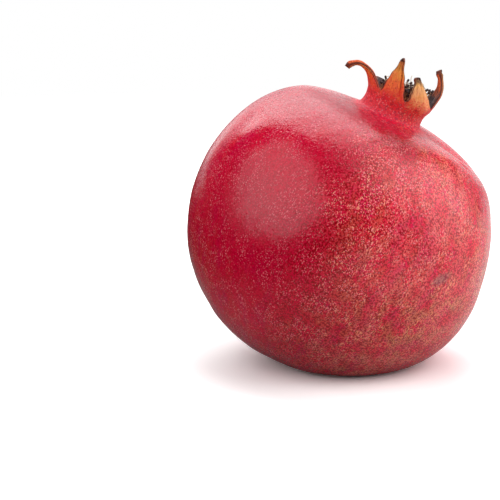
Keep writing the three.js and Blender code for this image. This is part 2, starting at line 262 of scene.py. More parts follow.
# Unevenness of the skin and then of the crown: its size in millimetres, detail, roughness and distortion
CLOUDS = (16, 3, 0.55)
PATCHES = (6, 3, 0.6)
STREAKS = (4.5, 3, 0.6)
GOLD_STREAKS = (3, 4, 0.65)
MILKY_STREAKS = (8, 3, 0.6)
TAN_CLOUDS = (8, 4, 0.6, 0.6)
GRAIN = (0.6, 1, 0.6)
SPECKS = (0.4, 1, 0.6)
FINE_LINES = (3.4, 2, 0.5)
SCRATCHES = (1.3, 3, 0.8)
PORES = (0.5, 1, 0.6)
LEATHER = (1.8, 2, 0.6)
BORDERS = (3, 3, 0.6)
STRANDS = (0.6, 3, 0.7)
YELLOWING = (2.6, 2, 0.5)
MOTTLES = (0.7, 3, 0.75)
DARK_MOTTLES = (0.7, 2, 0.6)

# Spots: how far apart, their radius and softness, and the share of them that is kept
DOTS = (0.64, 0.17, 0.06, 0.85)
RAISED_DOTS = (1.1, 0.2, 0.09, 0.6)
CROWN_DOTS = (0.66, 0.2, 0.1, 0.8)
CROWN_FLECKS = (1.3, 0.22, 0.1, 0.5)

# Depths of the relief in millimetres
PORE_DEPTH, LEATHER_DEPTH, DOT_HEIGHT = 0.13, 0.12, 0.065
THREAD_DEPTH, BARK_DEPTH = 0.08, 0.12
RIND_IOR = 1.45

LIT_POINT = Vector((-0.004, 0.0, 0.045))
# Each light's azimuth seen from the fruit, 0 on the camera's side and 90 on its right, and its elevation,
# distance, size and radiance
SOFTBOXES = {
    "overhead": ((199.6, 44.6, 1.424, (0.88, 1.85), 3.3), dict(roll=40, level=True)),
    "back": ((173.2, 33.3, 1.82, (0.6, 1.3), 2.4), dict(roll=40, level=True)),
    "back left": ((206, 14, 1.6, (0.74, 1.0), 0.6), {}),
    "window": ((-57, 33, 1.0, (1.02, 1.42), 1.25), dict(roll=35, shape="ELLIPSE")),
    "glow": ((-66, 28, 1.0, (1.5, 1.6), 0.8), dict(shape="ELLIPSE", spread=90)),
    "reflector": ((87, 24, 1.0, (1.3, 1.3), 3.05), dict(spread=95)),
    "back right": ((165, 0, 1.6, (0.9, 0.5), 0.6), {}),
    "front": ((5, 40, 1.2, (1.2, 1.0), 1.05), dict(reflected=False)),
    "fill": ((62, 62, 1.2, (1.1, 0.9), 1.3), {}),
}
BACKDROP_EDGE = (0.86, 0.93)  # how squarely behind the fruit the bright backdrop begins, as a cosine
BACKDROP_BRIGHT, STUDIO_DIM = 0.85, 0.02
FLOOR_HALF = 6.0  # metres

CAMERA_ELEVATION = 12.0
CAMERA_DISTANCE = 0.7
CAMERA_VIEW = 13.81
CAMERA_TARGET = Vector((-0.0347, 0.0, 0.0381))
CAMERA_CLIP = (0.05, 20)

# ---- directions and placing

AXIS = np.array([sin(LEAN), 0.0, cos(LEAN)])
CROSS_SIDE = np.array([0.0, 1.0, 0.0])
LEAN_SIDE = np.cross(CROSS_SIDE, AXIS)
CENTRE = np.array([-SET_BACK, 0.0, CENTRE_HEIGHT])


def settle(points):
    """Below the rounding the fruit is flat where it lies."""
    height = points[..., 2]
    rounded = (height + SETTLE_ROUNDING) ** 2 / (4 * SETTLE_ROUNDING)
    flat = np.where(height <= -SETTLE_ROUNDING, 0.0, np.where(height < SETTLE_ROUNDING, rounded, height))
    return np.concatenate([points[..., :2], flat[..., None]], axis=-1)


def place(radius, bearing, height):
    radius, bearing, height = np.broadcast_arrays(radius, bearing, height)
    parts = (radius * np.cos(bearing), LEAN_SIDE), (radius * np.sin(bearing), CROSS_SIDE), (height, AXIS)
    return settle(CENTRE + sum(length[..., None] * side for length, side in parts))


def hill(distance, width):
    return np.exp(-((distance / width) ** 2))


def turn_from(start, bearing):
    """The shorter turn from one bearing to another."""
    return np.arctan2(np.sin(bearing - start), np.cos(bearing - start))


def ease(low, high, value):
    share = np.clip((value - low) / (high - low), 0, 1)
    return share * share * (3 - 2 * share)


def hill_at(angle, bearing, at_angle, at_bearing, width):
    """A hill on the skin round a place, all given in degrees."""
    across = turn_from(radians(at_bearing), bearing) * np.sin(angle)
    return hill(np.hypot(angle - radians(at_angle), across), radians(width))


def around(sides):
    return np.linspace(0, 2 * pi, sides, endpoint=False)


def ripples(turn, folds, along=0.0):
    """Regular folds or ridges, added up."""
    return sum(height * np.cos(often * turn + shift + drift * along) for height, often, shift, drift in folds)


def smooth_curve(pairs, share):
    """A Catmull-Rom curve through pairs, at shares of it from 0 to 1."""
    points = np.array(pairs, float)
    points = np.vstack([2 * points[0] - points[1], points, 2 * points[-1] - points[-2]])
    reach = np.clip(np.asarray(share, float), 0, 1) * (len(pairs) - 1)
    stop = np.minimum(reach.astype(int), len(pairs) - 2)
    t = (reach - stop)[..., None]
    before, start, end, after = (points[stop + k] for k in range(4))
    slope_in, slope_out = (end - before) / 2, (after - start) / 2
    bend = (2 * t**3 - 3 * t**2 + 1) * start + (t**3 - 2 * t**2 + t) * slope_in
    return bend + (3 * t**2 - 2 * t**3) * end + (t**3 - t**2) * slope_out


def waves(points, spacing, seed, count=24):
    """Smooth seeded unevenness of about -1 to 1 that doesn't repeat."""
    rng = np.random.default_rng(seed)
    total = np.zeros(points.shape[:-1])
    for _ in range(count):
        heading = rng.normal(size=3)
        heading *= 2 * pi / (spacing * rng.uniform(0.75, 1.4) * np.linalg.norm(heading))
        total += np.cos(points @ heading + rng.uniform(0, 2 * pi))
    return total / sqrt(count)


# ---- the body and neck

def rib_height(angle, bearing):
    height = sum(top * hill(turn_from(radians(at), bearing), RIB_WIDTH) for at, top in RIBS)
    return height * hill(angle - RIB_TOP, RIB_REACH) * np.sin(angle)


def swelling_height(angle, bearing):
    return sum(height * hill_at(angle, bearing, *where) for *where, height in SWELLINGS)


def crease_depth(angle, bearing):
    """Grooves with a low swelling above them, deepest in the middle of their run."""
    lip_height, lip_away, lip_width = CREASE_LIP
    depth = 0.0
    for (from_bearing, from_angle), (to_bearing, to_angle), deep, half_width in CREASES:
        middle = radians((from_bearing + to_bearing) / 2)
        along = np.degrees(turn_from(middle, bearing)) / (to_bearing - from_bearing)
        line = (from_angle + to_angle) / 2 + (to_angle - from_angle) * np.clip(along, -0.5, 0.5)
        across = np.radians(np.degrees(angle) - line) * BODY_RADIUS * CREASE_SLANT
        lip = lip_height * hill(across + lip_away * half_width, lip_width * half_width)
        depth = depth + deep * (hill(across, half_width) - lip) * (1 - ease(*CREASE_ENDS, np.abs(along)))
    return depth


def body_radius(angle, bearing):
    return (
        BODY_RADIUS
        - CROWN_END[0] * hill(angle, CROWN_END[1])
        - STEM_END[0] * hill(pi - angle, STEM_END[1])
        - DIMPLE[0] * hill(pi - angle, DIMPLE[1])
        + rib_height(angle, bearing)
        + swelling_height(angle, bearing)
    )


def body_points(angle, bearing):
    """The body with its dents and creases, which fade out towards the neck."""
    radius = body_radius(angle, bearing)
    smooth = place(radius * np.sin(angle), bearing, radius * np.cos(angle))
    relief = sum(deep * waves(smooth, apart, DENT_SEED + k) for k, (apart, deep) in enumerate(DENTS))
    relief = relief - crease_depth(angle, bearing)
    radius = radius + relief * ease(*RELIEF_START, angle) - SKIN_DEPTH
    return place(radius * np.sin(angle), bearing, radius * np.cos(angle))


def area_strength(areas, angle, bearing):
    """How far a place on the skin belongs to any of the areas, from 0 to 1."""
    left_out = 1.0
    for *where, strength in areas:
        left_out = left_out * (1 - strength * hill_at(angle, bearing, *where))
    return 1 - left_out


def scar_strength(angle, bearing):
    side = turn_from(radians(SCAR["bearing"]), bearing) * np.sin(angle) * BODY_RADIUS
    down = (angle - radians(SCAR["angle"])) * BODY_RADIUS
    along = side * cos(SCAR["slant"]) - down * sin(SCAR["slant"])
    across = side * sin(SCAR["slant"]) + down * cos(SCAR["slant"])
    return hill(np.hypot(along / SCAR["length"], across / SCAR["width"]), 1)


def lobe_span(number):
    return (LOBES[(number + 1) % len(LOBES)]["start"] - LOBES[number]["start"]) % 360


def across_lobe(share):
    """Columns of a lobe from its left rim, -1, to its right rim, 1, closer together at the rims."""
    even = 2 * np.asarray(share, float) - 1
    return (1 - RIM_CROWDING) * even + RIM_CROWDING * np.sin(even * pi / 2)


def lobe_swell(across):
    return LOBE_SWELL * np.cos(across * pi / 2) ** 2


def lobe_bearings(number, across):
    return np.radians(LOBES[number]["start"] + lobe_span(number) * (across + 1) / 2)


def ring_columns():
    """Bearing and place across its lobe of each column of the fruit."""
    across = across_lobe(np.arange(LOBE_COLUMNS) / LOBE_COLUMNS)
    bearings = [lobe_bearings(number, across) for number in range(len(LOBES))]
    return np.concatenate(bearings), np.tile(across, len(LOBES))


def neck_points(along, bearing, across):
    along = np.asarray(along)[:, None]
    profile = smooth_curve(NECK, along)
    start = body_radius(NECK_START, bearing)
    left_to_round = (1 - along) ** 2
    radius = profile[..., 0] + (start * sin(NECK_START) - NECK[0][0]) * left_to_round
    height = profile[..., 1] + (start * cos(NECK_START) - NECK[0][1]) * left_to_round
    radius = radius + lobe_swell(across) * along**2 - NECK_BEND * np.cos(bearing) * np.sin(pi * along)
    return place(radius + ripples(bearing, NECK_FOLDS, along) * np.sin(pi * along), bearing, height)


# ---- the crown's lobes

def heading_at(lobe, along):
    headings = [MOUTH_FLARE, *lobe["headings"]]
    return np.radians(np.interp(along * (len(headings) - 1), range(len(headings)), headings))


def lobe_spine(lobe, along):
    """Radius and height of a lobe's middle line, from short steps along its headings."""
    steps = (np.arange(SPINE_STEPS) + 0.5) / SPINE_STEPS
    headings = heading_at(lobe, along[..., None] * steps)
    step = lobe["length"] * along / SPINE_STEPS
    radius = MOUTH_RADIUS + LOBE_SWELL + step * np.sin(headings).sum(axis=-1)
    return radius, MOUTH_HEIGHT + step * np.cos(headings).sum(axis=-1)


def knob_at(along):
    return hill(along - KNOB["at"], KNOB["reach"])


def lobe_taper(lobe, along):
    width = TIP_WIDTH + (1 - TIP_WIDTH) * (1 - along) ** lobe["taper"] + KNOB["width"] * knob_at(along)
    width = width * (1 - TIP_NARROWING * ease(*TIP_START, along))
    uneven, often = EDGE_WAVES
    return width * (1 + uneven * np.sin(often * along + lobe["start"]) * np.sin(pi * along))


def lobe_wall(across, along):
    """Thickness of a lobe, rounded off at its rims, but whole where lobes join."""
    middle = WALL + KNOB["thickness"] * knob_at(along)
    rounded = np.sqrt(1 - RIM_THINNING * np.abs(across) ** RIM_SHARPNESS)
    return middle * (1 + (rounded - 1) * ease(0, 0.08, along))


def lobe_wrinkles(lobe, across, along):
    """Ridges along a dried lobe, the rolled rim on its right side and its shrivelled tip."""
    phase = radians(lobe["start"])
    ridges = BROAD_RIDGES * np.cos(7.5 * across + phase + 1.2 * np.sin(5 * along))
    ridges = ridges + FINE_RIDGES * np.cos(17 * across - 2 * phase + 2 * along)
    rim = lobe["roll"] * (hill(across - ROLL_AT, 0.13) - 0.8 * hill(across - FURROW_AT, 0.1))
    shrivel = SHRIVEL * np.cos(3 * across + 38 * along + phase) * hill(along - KNOB["at"], SHRIVEL_REACH)
    return (ridges + rim) * ease(0, 0.25, along) * (1 - across**6) + shrivel * (1 - across**2)


def lobe_points(number, across, along, depth):
    """A lobe's surface at a depth below its outer face."""
    lobe = LOBES[number]
    half_span = radians(lobe_span(number)) / 2
    middle = radians(lobe["start"]) + half_span
    spine_radius, spine_height = lobe_spine(lobe, along)
    heading = heading_at(lobe, along)
    taper = lobe_taper(lobe, along) / lobe_taper(lobe, np.zeros(1))
    ring = MOUTH_RADIUS + lobe_swell(across)
    turn = across * half_span * taper
    sag = (MOUTH_RADIUS + LOBE_SWELL - ring * np.cos(across * half_span)) * taper
    sideways = ring * np.sin(across * half_span) * taper + lobe["sway"] * along**SWAY_EASING
    radius = spine_radius - sag * np.cos(heading) - depth * np.cos(heading) * np.cos(turn)
    offset = sideways - depth * np.cos(heading) * np.sin(turn)
    height = spine_height + (sag + depth) * np.sin(heading)
    return place(np.hypot(radius, offset), middle + np.arctan2(offset, radius), height)


# ---- meshes

def new_object(name, data):
    made = bpy.data.objects.new(name, data)
    bpy.context.scene.collection.objects.link(made)
    return made


class Skin:
    """Grids of points that become one mesh, with each point's traits and a map."""

    def __init__(self, traits):
        self.points = []
        self.traits = {name: [] for name in traits}
        self.faces = []
        self.maps = []

    def grid(self, points, **traits):
        """Adds rows of points and returns their numbers, in the same rows."""
        first = len(self.points)
        self.points.extend(points.reshape(-1, 3))
        for name, values in self.traits.items():
            values.extend(np.broadcast_to(traits.get(name, 0.0), points.shape[:-1]).ravel())
        return np.arange(first, first + points[..., 0].size).reshape(points.shape[:-1])

    def ring(self, points, **traits):
        """Adds rows that go right round, each ending on its first number."""
        rows = self.grid(points, **traits)
        return np.concatenate([rows, rows[:, :1]], axis=1)

    def quads(self, numbers, chart=(0, 0, 1, 1), flipped=False):
        """Faces between rows of numbers, laid out on the chart (left, bottom, right, top) of the map."""
        rows, columns = numbers.shape
        left, bottom, right, top = chart
        across, up = np.meshgrid(np.linspace(left, right, columns), np.linspace(bottom, top, rows))
        where = np.stack([across, up], axis=-1)
        corners = [(0, 0), (0, 1), (1, 1), (1, 0)][:: -1 if flipped else 1]
        cut = [(slice(r, rows - 1 + r), slice(c, columns - 1 + c)) for r, c in corners]
        self.faces.extend(np.stack([numbers[piece].ravel() for piece in cut], axis=1).tolist())
        charted = np.stack([where[piece].reshape(-1, 2) for piece in cut], axis=1)
        self.maps.extend(charted.reshape(-1, 2).tolist())

    def cap(self, point, row, chart=(0, 0, 1, 1), flipped=False, **traits):
        """Triangles from one more point to a row."""
        tip = int(self.grid(np.reshape(point, (1, 1, 3)), **traits)[0, 0])
        left, bottom, right, top = chart
        row, across = row.tolist(), np.linspace(left, right, len(row))
        order = -1 if flipped else 1
        for start, end, near, far in zip(row, row[1:], across, across[1:]):
            self.faces.append([tip, start, end][::order])
            self.maps.extend([((near + far) / 2, bottom), (near, top), (far, top)][::order])

    def build(self, name, mapped=False):
        mesh = bpy.data.meshes.new(name)
        mesh.from_pydata(np.array(self.points) * MM, [], self.faces)
        for trait, values in self.traits.items():
            attribute = mesh.attributes.new(trait, "FLOAT", "POINT")
            attribute.data.foreach_set("value", np.array(values, np.float32))
        if mapped:
            chart = mesh.uv_layers.new(name="OFBake")
            chart.uv.foreach_set("vector", np.array(self.maps, np.float32).ravel())
        mesh.polygons.foreach_set("use_smooth", [True] * len(mesh.polygons))
        mesh.validate()
        return new_object(name, mesh)


def soften(grid, row, reach, rounds):
    """Evens out the rows near one row, so that two stretches join without a line."""
    for _ in range(rounds):
        low, high = row - reach, row + reach + 1
        between = (grid[low - 1 : high - 1] + grid[low + 1 : high + 1]) / 2
        share = (1 - np.abs(np.arange(-reach, reach + 1)) / (reach + 1))[:, None, None]
        grid[low:high] += (between - grid[low:high]) * share * 0.5
    return grid


# ---- the fruit's skin

FRUIT_TRAITS = ("angle", "bearing_x", "bearing_y", "rise", "rim", "inside", "tone", *AREAS, "scar")
CROWN_RISE = 0.5  # of the crown's rise, that its neck takes up; its lobes take up the rest
UNDER_NECK = radians(42)  # angle from which the body's colour goes over into the neck's

# Places on the map, each from its left and bottom to its right and top
STEM_END_CHART = (0, 0, 1, 0.004)
BODY_CHART = (0.0, 0.004, 1.0, 0.7)
NECK_CHART = (0.0, 0.72, 0.6, 0.8)
CUP_CHART = (0.61, 0.72, 1.0, 0.8)
CUP_FLOOR_CHART = (0.61, 0.705, 1.0, 0.715)
LOBE_GAP = 0.02
RIM_STRIPS, RIM_STRIP_WIDTH = (0.004, 0.012), 0.004  # in the gap right of each lobe


def turned_to(bearing):
    return {"bearing_x": np.cos(bearing), "bearing_y": np.sin(bearing)}


def add_outside(skin, bearing, across):
    """The body from the stem's dimple up, and the neck up to the crown's mouth."""
    share = np.arange(1, BODY_ROWS + 1) / BODY_ROWS
    angle = pi - (pi - NECK_START) * share[:, None] ** ROW_EASING
    body = body_points(angle, bearing)
    along = np.arange(1, NECK_ROWS + 1) / NECK_ROWS
    neck = neck_points(along, bearing, across)
    whole = soften(np.concatenate([body, neck]), BODY_ROWS - 1, *NECK_SOFTENING)
    angles = np.concatenate([angle, np.full((NECK_ROWS, 1), NECK_START)])
    below = -CROWN_RISE * ease(NECK_START, UNDER_NECK, angle)
    rises = np.concatenate([below, CROWN_RISE * along[:, None]])
    traits = {name: area_strength(areas, angles, bearing) for name, areas in AREAS.items()}
    traits |= {"scar": scar_strength(angles, bearing), "angle": angles, "rise": rises}
    traits["tone"] = np.repeat([lobe["tone"] for lobe in LOBES], LOBE_COLUMNS)
    numbers = skin.ring(whole, **traits, **turned_to(bearing))
    stem_end = body_points(np.full((1, 1), pi), np.zeros((1, 1)))
    skin.cap(stem_end, numbers[0], STEM_END_CHART, flipped=True, angle=pi, rise=-CROWN_RISE)
    skin.quads(numbers[:BODY_ROWS], BODY_CHART)
    skin.quads(numbers[BODY_ROWS - 1 :], NECK_CHART)
    return numbers[-1]


def add_cup(skin, bearing, across):
    """The inside of the crown's cup, from the mouth down to its floor."""
    across = across[:LOBE_COLUMNS]
    wall, at_mouth = np.full(LOBE_COLUMNS, lobe_wall(0, 0)), np.zeros(LOBE_COLUMNS)
    mouth = [lobe_points(number, across, at_mouth, wall) for number in range(len(LOBES))]
    share = np.arange(CUP_ROWS) / CUP_ROWS
    profile = smooth_curve(CUP, share)
    sides = place(profile[:, :1] + ripples(bearing, CUP_FOLDS), bearing, profile[:, 1:])
    rings = np.concatenate([np.concatenate(mouth)[None], sides])
    rises = np.concatenate([[CROWN_RISE], 0.42 - 0.42 * share])[:, None]
    numbers = skin.ring(rings, angle=NECK_START, rise=rises, inside=1.0, **turned_to(bearing))
    skin.quads(numbers, CUP_CHART)
    skin.cap(place(0.0, 0.0, CUP[-1][1]), numbers[-1], CUP_FLOOR_CHART, inside=1.0)
    return numbers[0]


def add_lobe(skin, number, outer_mouth, inner_mouth):
    """A lobe's outer and inner faces, which start from the mouth's own points, and its rims and tip."""
    lobe = LOBES[number]
    across = across_lobe(np.arange(LOBE_COLUMNS + 1) / LOBE_COLUMNS)
    along = (np.arange(1, LOBE_ROWS + 1) / LOBE_ROWS)[:, None]
    wrinkles = lobe_wrinkles(lobe, across, along)
    wall = lobe_wall(across, along)
    rim = np.abs(across) ** 10 * ease(0, 0.15, along)
    # The furrow beside a rolled rim is painted dark with the rims, as painted shade
    furrow_shade = 1.5 * lobe["roll"] * hill(across - FURROW_AT, 0.05) * ease(0.15, 0.4, along)
    traits = {
        "angle": NECK_START,
        "rise": CROWN_RISE + (1 - CROWN_RISE) * along,
        "rim": np.maximum(np.maximum(rim, furrow_shade), ease(0.89, 0.98, along)),
        "tone": lobe["tone"],
        **turned_to(lobe_bearings(number, across)),
    }
    outer = skin.grid(lobe_points(number, across, along, -wrinkles), **traits)
    inner = skin.grid(lobe_points(number, across, along, wall - 0.5 * wrinkles), inside=1.0, **traits)
    columns = slice(number * LOBE_COLUMNS, (number + 1) * LOBE_COLUMNS + 1)
    outer = np.vstack([outer_mouth[columns], outer])
    inner = np.vstack([inner_mouth[columns], inner])
    left = number / len(LOBES)
    right = left + 1 / len(LOBES) - LOBE_GAP
    skin.quads(outer, (left, 0.81, right, 0.89))
    skin.quads(inner, (left, 0.9, right, 0.98), flipped=True)
    rise = CROWN_RISE + (1 - CROWN_RISE) * np.linspace(0, 1, LOBE_ROWS + 1)[:, None]
    for column, gap in zip((0, -1), RIM_STRIPS):
        edges = [[skin.points[point] for point in face[:, column]] for face in (inner, outer)]
        middle = skin.grid(np.mean(edges, axis=0)[:, None], angle=NECK_START, rise=rise, tone=lobe["tone"])
        strip = np.stack([inner[:, column], middle[:, 0], outer[:, column]], axis=1)
        chart = (right + gap, 0.81, right + gap + RIM_STRIP_WIDTH, 0.98)
        skin.quads(strip, chart, flipped=column == -1)
    skin.quads(np.stack([outer[-1], inner[-1]]), (left, 0.985, right, 0.989))


def make_fruit_skin():
    skin = Skin(FRUIT_TRAITS)
    bearing, across = ring_columns()
    outer_mouth = add_outside(skin, bearing, across)
    inner_mouth = add_cup(skin, bearing, across)
    for number in range(len(LOBES)):
        add_lobe(skin, number, outer_mouth, inner_mouth)
    return skin.build("fruit_skin", mapped=True)


# ---- the stamens and stem

def add_tube(skin, path, radii, sides, **traits):
    """A closed tube of rings round a path, each turned as little as possible from the last."""
    ahead = np.gradient(path, axis=0)
    ahead /= np.linalg.norm(ahead, axis=1, keepdims=True)
    side = np.cross(ahead[0], FIRST_SIDE)
    turn = around(sides)[:, None]
    points = []
    for point, heading, radius in zip(path, ahead, radii):
        side = side - heading * (side @ heading)
        side /= np.linalg.norm(side)
        points.append(point + radius * (np.cos(turn) * side + np.sin(turn) * np.cross(heading, side)))
    rings = skin.ring(np.array(points), **traits)
    skin.quads(rings)
    skin.cap(path[0], rings[0], flipped=True, **traits)
    skin.cap(path[-1], rings[-1], **traits)


def add_head(skin, point, heading, rng, shade):
    """A shrivelled pollen head across the end of a thread."""
    half_width, half_length = (size * rng.uniform(*HEAD_SCATTER) for size in HEAD_SIZE)
    lean = heading + HEAD_LEAN * np.array([rng.uniform(-1, 1) for _ in range(3)])
    lean /= np.linalg.norm(lean)
    share = np.linspace(-HEAD_END, HEAD_END, HEAD_RINGS)
    path = point + lean * share[:, None] * half_length
    radii = half_width * np.sqrt(1 - share**2) * (1 - HEAD_WAIST * hill(share, HEAD_WAIST_WIDTH))
    add_tube(skin, path, radii, HEAD_SIDES, head=1.0, shade=shade)


def stamen_path(number, rng):
    """A bent thread from the tuft's cushion, further out where a lobe stands back."""
    spread = TUFT_RADIUS * sqrt((number + 0.5) / STAMENS)
    bearing = number * TURN_TO_NEXT + rng.random() * TURN_SCATTER
    top = TUFT_TOP[0] + (TUFT_TOP[1] - TUFT_TOP[0]) * rng.random()
    to_open = max(0.0, cos(bearing - OPEN_SIDE)) ** 2
    to_closed = max(0.0, cos(bearing - CLOSED_SIDE)) ** 2
    top += TUFT_RISE * to_open
    lean = TUFT_SPREAD + OPEN_LEAN * to_open - CLOSED_LEAN * to_closed
    curl = (rng.random() - 0.5) * CURL_SCATTER
    share = np.linspace(0, 1, STAMEN_STEPS + 1)
    outward = [(0, 0.9), (1 / 3, 1.0), (2 / 3, 0.4 + 0.6 * lean), (1, lean)]
    radius = smooth_curve(outward, share)[:, 1] * spread
    turned = bearing + curl * share**2 * TUFT_RADIUS / (radius + TUFT_RADIUS)
    return place(radius, turned, TUFT_FLOOR + 0.5 + (top - TUFT_FLOOR - 0.5) * share)


def curled_path(rng):
    """A thin thread that rises out of the tuft and curls over."""
    bearing = rng.uniform(0, 2 * pi)
    root = rng.uniform(*CURLED_ROOT) * TUFT_RADIUS
    share = np.linspace(0, 1, CURLED_STEPS)
    turn = rng.uniform(*CURL_TURN) * share**2
    size = rng.uniform(*CURL_SIZE)
    radius = root + rng.uniform(*CURLED_LEAN) * share + size * np.sin(turn)
    rise = CURLED_RISE + TUFT_RISE * max(0.0, cos(bearing - OPEN_SIDE))
    height = rng.uniform(*CURLED_START) + rise * share + size * (np.cos(turn) - 1)
    return place(radius, bearing + rng.uniform(*CURLED_ASIDE) * share, height)


def add_cushion(skin):
    """The withered mass that the stamens' roots are fused into."""
    share = np.linspace(0, 1, CUSHION_RINGS)[1:-1]
    profile = smooth_curve(TUFT_BASE, share)
    turn = around(CUSHION_SIDES)
    rings = place(profile[:, :1] + ripples(turn, CUSHION_BUMPS), turn, TUFT_FLOOR + profile[:, 1:])
    base = skin.ring(rings, shade=CUSHION_SHADE)
    skin.quads(base)
    for end in (0, -1):
        middle = place(0.0, 0.0, TUFT_FLOOR + TUFT_BASE[end][1])
        skin.cap(middle, base[end], flipped=end == 0, shade=CUSHION_SHADE)


def make_stamen_tuft():
    rng = random.Random(STAMEN_SEED)
    skin = Skin(("head", "shade"))
    add_cushion(skin)
    for number in range(STAMENS):
        path = stamen_path(number, rng)
        shade = rng.random()
        radii = STAMEN_RADIUS * (1 - THREAD_TAPER * np.linspace(0, 1, len(path)))
        add_tube(skin, path, radii, THREAD_SIDES, shade=shade)
        add_head(skin, path[-1], path[-1] - path[-3], rng, shade)
    for _ in range(CURLED_THREADS):
        path = curled_path(rng)
        add_tube(skin, path, np.full(len(path), CURLED_RADIUS), CURLED_SIDES, shade=CURLED_SHADE)
    return skin.build("stamen_tuft")


def make_clipped_stem():
    """The woody stub: ridged along its length, with a rough cut end."""
    skin = Skin(("cut",))
    share = np.linspace(0, 1, STEM_RINGS + 2)[1:-1, None]
    profile = smooth_curve(STEM, share[:, 0])
    radius, distance = profile[:, :1], profile[:, 1:]
    turn = around(STEM_SIDES)
    rough = CUT_ROUGHNESS * np.cos(5 * turn) * np.cos(6 * radius) * ease(0.75, 0.9, share)
    across = radius * (1 + ripples(turn, STEM_RIDGES, share)) * 0.95
    to_side = (across * np.cos(turn))[..., None] * LEAN_SIDE
    to_back = (across * np.sin(turn))[..., None] * STEM_FLATTENING * CROSS_SIDE
    points = CENTRE + to_side + to_back - (distance + rough)[..., None] * AXIS
    rings = skin.ring(points, cut=ease(0.72, 0.85, share))
    skin.quads(rings, flipped=True)
    skin.cap(CENTRE - STEM[0][1] * AXIS, rings[0], cut=0.0)
    skin.cap(CENTRE - STEM[-1][1] * AXIS, rings[-1], flipped=True, cut=1.0)
    return skin.build("clipped_stem")


# ---- materials

class Look:
    """A material's or world's nodes. They take numbers, other nodes' outputs or names of a piece's traits."""

    def __init__(self, owner):
        owner.use_nodes = True
        self.owner = owner
        self.nodes, self.links = owner.node_tree.nodes, owner.node_tree.links

    def add(self, kind, inputs=None, **settings):
        node = self.nodes.new("ShaderNode" + kind)
        for setting, value in settings.items():
            setattr(node, setting, value)
        for socket, value in (inputs or {}).items():
            self.join(value, node.inputs[socket])
        return node

    def join(self, value, socket):
        if isinstance(value, str):
            value = self.add("Attribute", attribute_name=value).outputs["Fac"]
        if isinstance(value, bpy.types.NodeSocket):
            self.links.new(value, socket)
        else:
            socket.default_value = value

    def millimetres(self):
        where = self.add("TexCoord").outputs["Object"]
        scaled = self.add("VectorMath", {0: where, "Scale": 1 / MM}, operation="SCALE")
        return scaled.outputs["Vector"]

    def math(self, operation, first, second=0.0):
        return self.add("Math", {0: first, 1: second}, operation=operation).outputs[0]

    def product(self, *factors):
        total = factors[0]
        for factor in factors[1:]:
            total = self.math("MULTIPLY", total, factor)
        return total

    def span(self, value, low, high, start=0.0, end=1.0):
        """The value eased from start to end as it goes from low to high."""
        inputs = {"Value": value, "From Min": low, "From Max": high, "To Min": start, "To Max": end}
        return self.add("MapRange", inputs, interpolation_type="SMOOTHSTEP").outputs["Result"]

    def noise(self, where, size, detail=2.0, roughness=0.5, distortion=0.0):
        """Cloudy unevenness from 0 to 1, with patches of about that size in millimetres."""
        inputs = {"Vector": where, "Scale": 1 / size, "Detail": detail, "Roughness": roughness}
        return self.add("TexNoise", inputs | {"Distortion": distortion}).outputs["Fac"]

    def cloudy(self, where, kind, low, high, start=0.0, end=1.0):
        """Noise of this kind, eased as by span."""
        return self.span(self.noise(where, *kind), low, high, start, end)

    def spots(self, where, apart, radius, softness, kept):
        """Round spots, 1 inside them and 0 between them, of which a share is kept."""
        cells = self.add("TexVoronoi", {"Vector": where, "Scale": 1 / apart})
        luck = self.add("SeparateColor", {"Color": cells.outputs["Color"]})
        size = self.span(luck.outputs["Green"], 0, 1, 0.6, 1.3)
        near = self.math("DIVIDE", cells.outputs["Distance"], size)
        spot = self.span(near, (radius - softness) / apart, (radius + softness) / apart, 1.0, 0.0)
        return self.math("MULTIPLY", spot, self.math("LESS_THAN", luck.outputs["Red"], kept))

    def blend(self, below, above, *shares, mode="MIX"):
        """One colour over another, by the product of the shares."""
        factor = self.product(*shares)
        node = self.add("Mix", {"Factor": factor}, data_type="RGBA", blend_type=mode)
        colours = [socket for socket in node.inputs if socket.type == "RGBA"]
        self.join(below, colours[0])
        self.join(above, colours[1])
        return next(socket for socket in node.outputs if socket.type == "RGBA")

    def layers(self, colour, *layers):
        """Colours laid over one another, each given with its shares."""
        for above, *shares in layers:
            colour = self.blend(colour, above, *shares)
        return colour

    def ramp(self, value, steps):
        node = self.add("ValToRGB", {"Fac": value})
        elements = node.color_ramp.elements
        while len(elements) < len(steps):
            elements.new(1.0)
        for element, (at, *colour) in zip(elements, steps):
            element.position = at
            element.color = srgb(*colour)
        return node.outputs["Color"]

    def relief(self, height, depth, below=None):
        """Relief of this depth in millimetres where the height is 1, on top of any relief below it."""
        inputs = {"Height": height, "Distance": depth * MM}
        if below is not None:
            inputs["Normal"] = below
        return self.add("Bump", inputs).outputs["Normal"]

    def mix(self, share, first, second):
        """Ends in a mix of two shaders, and returns the finished material or world."""
        shaders = {"Fac": share, 1: first.outputs[0], 2: second.outputs[0]}
        end = next(node for node in self.nodes if "Output" in node.bl_idname)
        self.join(self.add("MixShader", shaders).outputs[0], end.inputs["Surface"])
        return self.owner

    def set(self, values):
        """Sets the glossy shader, and returns the finished material."""
        for name, value in values.items():
            self.join(value, self.nodes["Principled BSDF"].inputs[name])
        return self.owner


def flow(look, radius, along, length):
    """Places in millimetres round the crown's axis, drawn together along the skin for long spots."""
    parts = {
        "X": look.product("bearing_x", radius),
        "Y": look.product("bearing_y", radius),
        "Z": look.product(along, length * FLOW_SHARE),
    }
    return look.add("CombineXYZ", parts).outputs["Vector"]


def red_skin(look, where, meridians):
    """Clouds and streaks of several reds."""
    streaks = look.noise(meridians, *STREAKS)
    return look.layers(
        CRIMSON,
        (BRIGHT_RED, look.cloudy(where, CLOUDS, 0.42, 0.62)),
        (ORANGE_RED, look.span(streaks, 0.53, 0.66, end=0.6)),
        (MAGENTA, look.span(streaks, 0.5, 0.37, end=0.55)),
    )


